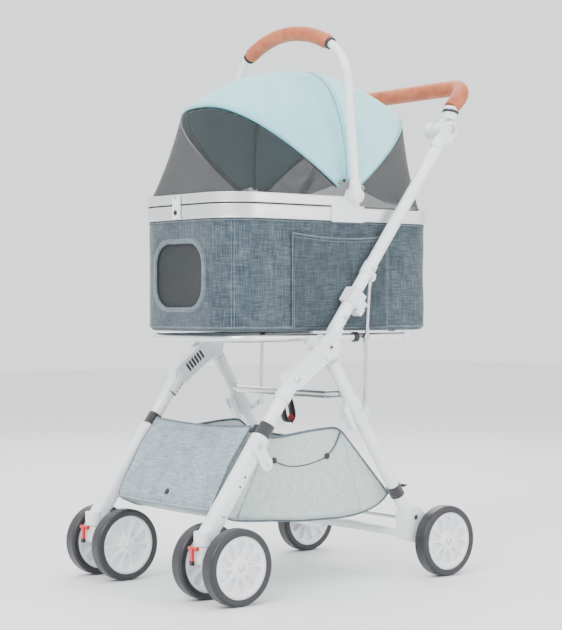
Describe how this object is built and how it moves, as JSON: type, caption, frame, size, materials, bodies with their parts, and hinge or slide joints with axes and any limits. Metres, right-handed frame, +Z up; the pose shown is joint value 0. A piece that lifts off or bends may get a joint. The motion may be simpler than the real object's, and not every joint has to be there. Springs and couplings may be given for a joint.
{
  "type": "pet stroller",
  "caption": "Folding pet stroller: a lift-off carrier with a mesh and fabric canopy on a white tube frame with twin front casters, rear wheels and an under-basket.",
  "frame": {"origin": "on the ground under the middle of the overall length and width", "axes": "+Z up, the front faces -Y, +X is the pusher's left"},
  "size_m": [0.494, 0.7195, 1.0992],
  "materials": {
    "white_paint": "gloss powder coat",
    "white_plastic": "satin moulded",
    "satin_aluminium": "satin anodised",
    "rim_white": "moulded",
    "tyre_black": "matt foam rubber",
    "webbing_black": "woven webbing",
    "red_plastic": "moulded",
    "grey_fabric": "heathered weave",
    "floor_board": "covered board",
    "mint_mesh": "fine mesh",
    "charcoal_mesh": "open mesh",
    "aqua_canopy": "light woven",
    "teal_bow": "bound wire",
    "tan_leather": "stitched leather"
  },
  "bodies": {
    "front_frame": {"front_elbows": "white_plastic", "front_legs": "white_paint", "leg_sheaths": "white_plastic", "frame_caps": "white_plastic", "support_rail": "satin_aluminium", "rail_fittings": "white_plastic", "front_straps": "webbing_black", "basket_front": "grey_fabric", "basket_mesh": "mint_mesh"},
    "rear_frame": {"rear_legs": "white_paint", "rear_sleeves": "white_plastic", "rear_crossbar": "satin_aluminium", "rear_axle_bar": "white_paint", "wheel_brackets": "white_plastic", "rear_straps": "webbing_black"},
    "push_frame": {"push_arms": "white_paint", "push_tubes": "white_paint", "tube_clamps": "white_plastic", "handle_forks": "white_plastic"},
    "upper_links": {"upper_links": "satin_aluminium"},
    "lower_links": {"lower_links": "satin_aluminium"},
    "fold_levers": {"fold_levers": "white_plastic"},
    "brake": {"brake_bar": "satin_aluminium"},
    "handle": {"handle_tube": "white_plastic", "handle_grip": "tan_leather"},
    "carrier": {"carrier_body": "grey_fabric", "carrier_floor": "floor_board", "carrier_rim": "satin_aluminium", "rim_clamps": "white_plastic", "window_mesh": "charcoal_mesh", "rear_mesh": "charcoal_mesh", "canopy_rear": "aqua_canopy", "rear_bows": "teal_bow", "canopy_front": "aqua_canopy"},
    "lid": {"lid_rim": "satin_aluminium", "front_mesh": "charcoal_mesh", "front_bow": "teal_bow"},
    "latch": {"latch": "white_plastic"},
    "carry_handle": {"carry_handle": "white_paint", "carry_grip": "tan_leather"},
    "caster_left": {"caster_left": "white_plastic"},
    "swivel_lock_left": {"swivel_lock_left": "red_plastic"},
    "collar_lever_left": {"collar_lever_left": "white_plastic"},
    "hinge_button_left": {"hinge_button_left": "white_plastic"},
    "wheel_front_left_outer": {"rim_front_left_outer": "rim_white", "tyre_front_left_outer": "tyre_black"},
    "wheel_front_left_inner": {"rim_front_left_inner": "rim_white", "tyre_front_left_inner": "tyre_black"},
    "wheel_rear_left": {"rim_rear_left": "rim_white", "tyre_rear_left": "tyre_black"},
    "caster_right": {"caster_right": "white_plastic"},
    "swivel_lock_right": {"swivel_lock_right": "red_plastic"},
    "collar_lever_right": {"collar_lever_right": "white_plastic"},
    "hinge_button_right": {"hinge_button_right": "white_plastic"},
    "wheel_front_right_outer": {"rim_front_right_outer": "rim_white", "tyre_front_right_outer": "tyre_black"},
    "wheel_front_right_inner": {"rim_front_right_inner": "rim_white", "tyre_front_right_inner": "tyre_black"},
    "wheel_rear_right": {"rim_rear_right": "rim_white", "tyre_rear_right": "tyre_black"}
  },
  "joints": [
    {"name": "leg_fold", "type": "hinge", "parent": "front_frame", "child": "rear_frame", "pos_m": [0, -0.045, 0.46], "axis": [1, 0, 0], "range_deg": [-33.75, 0]},
    {"name": "push_fold", "type": "hinge", "parent": "front_frame", "child": "push_frame", "pos_m": [0, -0.045, 0.46], "axis": [1, 0, 0], "range_deg": [-63.75, 0]},
    {"name": "upper_link_swing", "type": "hinge", "parent": "push_frame", "child": "upper_links", "pos_m": [0, 0.08504, 0.59376], "axis": [1, 0, 0], "range_deg": [-26.25, 0]},
    {"name": "lower_link_swing", "type": "hinge", "parent": "rear_frame", "child": "lower_links", "pos_m": [0, 0.07304, 0.3365], "axis": [1, 0, 0], "range_deg": [-45, 0]},
    {"name": "fold_lever_release", "type": "hinge", "parent": "rear_frame", "child": "fold_levers", "pos_m": [0, 0.0045, 0.33848], "axis": [1, 0, 0], "range_deg": [-25, 0]},
    {"name": "brake_press", "type": "hinge", "parent": "rear_frame", "child": "brake", "pos_m": [0, 0.157, 0.119], "axis": [1, 0, 0], "range_deg": [-18, 0]},
    {"name": "caster_left_swivel", "type": "hinge", "parent": "front_frame", "child": "caster_left", "pos_m": [0.183, -0.331, 0.1], "axis": [0, 0, 1], "continuous": true},
    {"name": "swivel_lock_left_flip", "type": "hinge", "parent": "caster_left", "child": "swivel_lock_left", "pos_m": [0.183, -0.352, 0.104], "axis": [-1, 0, 0], "range_deg": [0, 35]},
    {"name": "wheel_front_left_outer_spin", "type": "hinge", "parent": "caster_left", "child": "wheel_front_left_outer", "pos_m": [0.23, -0.289, 0.07], "axis": [1, 0, 0], "continuous": true},
    {"name": "wheel_front_left_inner_spin", "type": "hinge", "parent": "caster_left", "child": "wheel_front_left_inner", "pos_m": [0.136, -0.289, 0.07], "axis": [1, 0, 0], "continuous": true},
    {"name": "wheel_rear_left_spin", "type": "hinge", "parent": "rear_frame", "child": "wheel_rear_left", "pos_m": [0.218, 0.239, 0.07], "axis": [1, 0, 0], "continuous": true},
    {"name": "collar_lever_left_release", "type": "hinge", "parent": "push_frame", "child": "collar_lever_left", "pos_m": [0.183, 0.0485, 0.54491], "axis": [1, 0, 0], "range_deg": [0, 70]},
    {"name": "caster_right_swivel", "type": "hinge", "parent": "front_frame", "child": "caster_right", "pos_m": [-0.183, -0.331, 0.1], "axis": [0, 0, 1], "continuous": true},
    {"name": "swivel_lock_right_flip", "type": "hinge", "parent": "caster_right", "child": "swivel_lock_right", "pos_m": [-0.183, -0.352, 0.104], "axis": [-1, 0, 0], "range_deg": [0, 35]},
    {"name": "wheel_front_right_outer_spin", "type": "hinge", "parent": "caster_right", "child": "wheel_front_right_outer", "pos_m": [-0.23, -0.289, 0.07], "axis": [1, 0, 0], "continuous": true},
    {"name": "wheel_front_right_inner_spin", "type": "hinge", "parent": "caster_right", "child": "wheel_front_right_inner", "pos_m": [-0.136, -0.289, 0.07], "axis": [1, 0, 0], "continuous": true},
    {"name": "wheel_rear_right_spin", "type": "hinge", "parent": "rear_frame", "child": "wheel_rear_right", "pos_m": [-0.218, 0.239, 0.07], "axis": [1, 0, 0], "continuous": true},
    {"name": "collar_lever_right_release", "type": "hinge", "parent": "push_frame", "child": "collar_lever_right", "pos_m": [-0.183, 0.0485, 0.54491], "axis": [1, 0, 0], "range_deg": [0, 70]},
    {"name": "handle_tilt", "type": "hinge", "parent": "push_frame", "child": "handle", "pos_m": [0, 0.28027, 0.8948], "axis": [1, 0, 0], "range_deg": [-70, 20]},
    {"name": "hinge_button_left_press", "type": "slide", "parent": "handle", "child": "hinge_button_left", "axis": [1, 0, 0], "range_m": [0, 0.005], "stiffness_N_per_m": 300},
    {"name": "hinge_button_right_press", "type": "slide", "parent": "handle", "child": "hinge_button_right", "axis": [-1, 0, 0], "range_m": [0, 0.005], "stiffness_N_per_m": 300},
    {"name": "carrier_lift", "type": "slide", "parent": "front_frame", "child": "carrier", "axis": [0, 0, 1], "range_m": [0, 0.12]},
    {"name": "lid_open", "type": "hinge", "parent": "carrier", "child": "lid", "pos_m": [0, 0.041, 0.752], "axis": [-1, 0, 0], "range_deg": [0, 38], "deforming": ["canopy_front"]},
    {"name": "latch_flip", "type": "hinge", "parent": "lid", "child": "latch", "pos_m": [0, -0.26, 0.747], "axis": [-1, 0, 0], "range_deg": [0, 80]},
    {"name": "carry_handle_tilt", "type": "hinge", "parent": "carrier", "child": "carry_handle", "pos_m": [0, 0.041, 0.752], "axis": [-1, 0, 0], "range_deg": [-50, 32]}
  ],
  "couplings": [
    {"joint": "push_fold", "follows": "leg_fold", "ratio": 1.8889},
    {"joint": "upper_link_swing", "follows": "leg_fold", "ratio": 0.77778},
    {"joint": "lower_link_swing", "follows": "leg_fold", "ratio": 1.3333}
  ]
}
